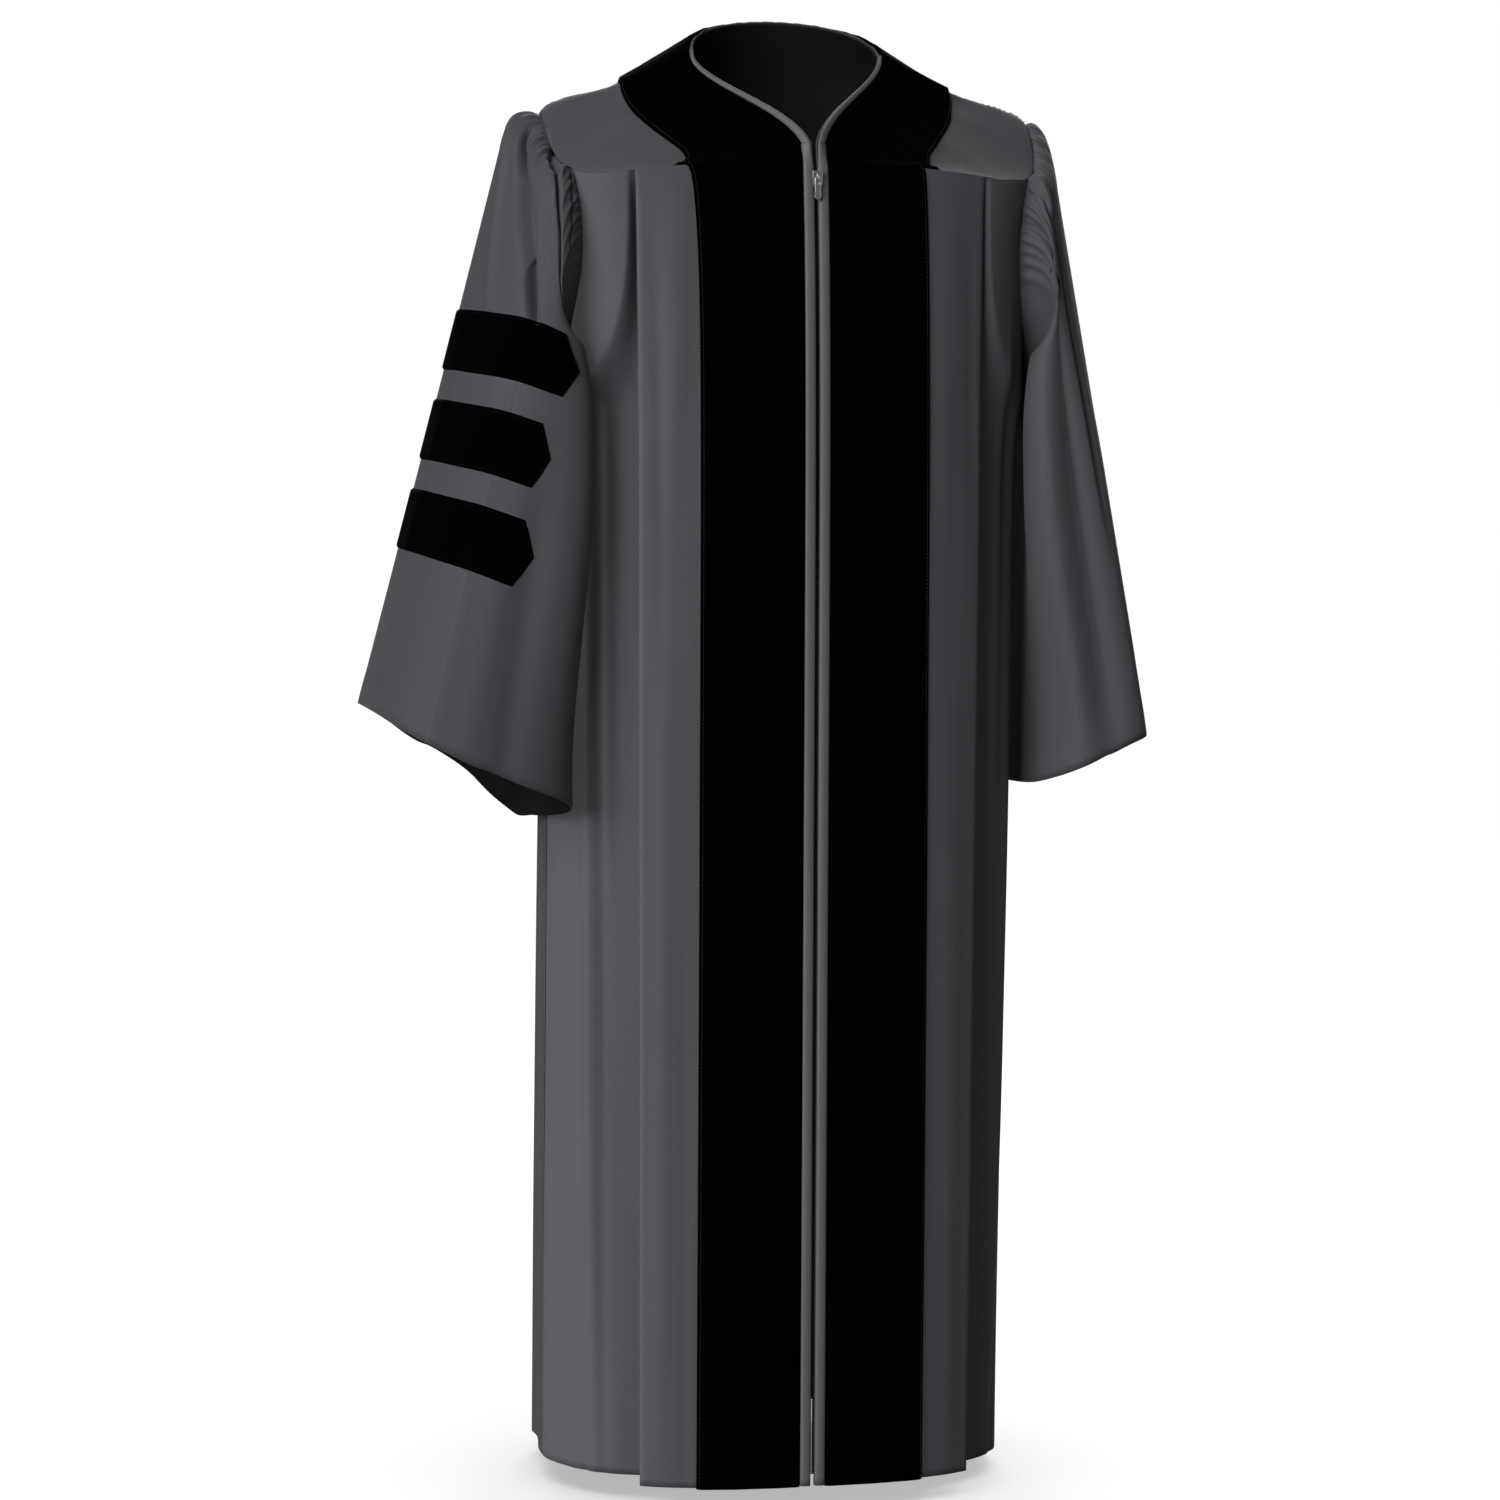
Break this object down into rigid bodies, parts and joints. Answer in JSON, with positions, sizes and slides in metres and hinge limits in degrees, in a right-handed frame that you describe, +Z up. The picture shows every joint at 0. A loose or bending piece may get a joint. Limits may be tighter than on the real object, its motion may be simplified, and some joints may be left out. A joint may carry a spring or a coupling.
{
  "type": "graduation gown",
  "caption": "Long open-bottomed academic gown with bell sleeves, velvet front bands and sleeve bars, gathered sleeve heads, pleated fronts and a centre front zip with a turning pull.",
  "frame": {"origin": "middle of the neck opening, where the wearer's neck and shoulders hold the gown up", "axes": "+Z up, +X towards the wearer's left sleeve, the front with its zip faces -Y"},
  "size_m": [0.7344, 0.3642, 1.3445],
  "materials": {
    "suiting": "charcoal twill, satin sheen",
    "velvet": "black pile velvet",
    "bar_velvet": "black pile velvet",
    "piping": "rolled grey satin",
    "lining": "smooth black lining",
    "tape": "woven black zip tape",
    "nickel": "polished nickel plate"
  },
  "bodies": {
    "gown": {"yoke": "suiting", "front_right": "suiting", "front_left": "suiting", "back": "suiting", "sleeve_right": "suiting", "sleeve_left": "suiting", "velvet_right": "velvet", "velvet_left": "velvet", "bar_right_1": "bar_velvet", "bar_right_2": "bar_velvet", "bar_right_3": "bar_velvet", "bar_left_1": "bar_velvet", "bar_left_2": "bar_velvet", "bar_left_3": "bar_velvet", "piping_right": "piping", "piping_left": "piping", "neck_lining": "lining", "zip_tape_right": "tape", "zip_tape_left": "tape", "zip_chain": "tape", "zip_slider": "nickel"},
    "pull_tab": {"zip_pull": "nickel"}
  },
  "joints": [
    {"name": "pull_tab_hinge", "type": "hinge", "parent": "gown", "child": "pull_tab", "pos_m": [0, -0.1258, -0.117], "axis": [-1, 0, 0], "range_deg": [0, 150]}
  ]
}
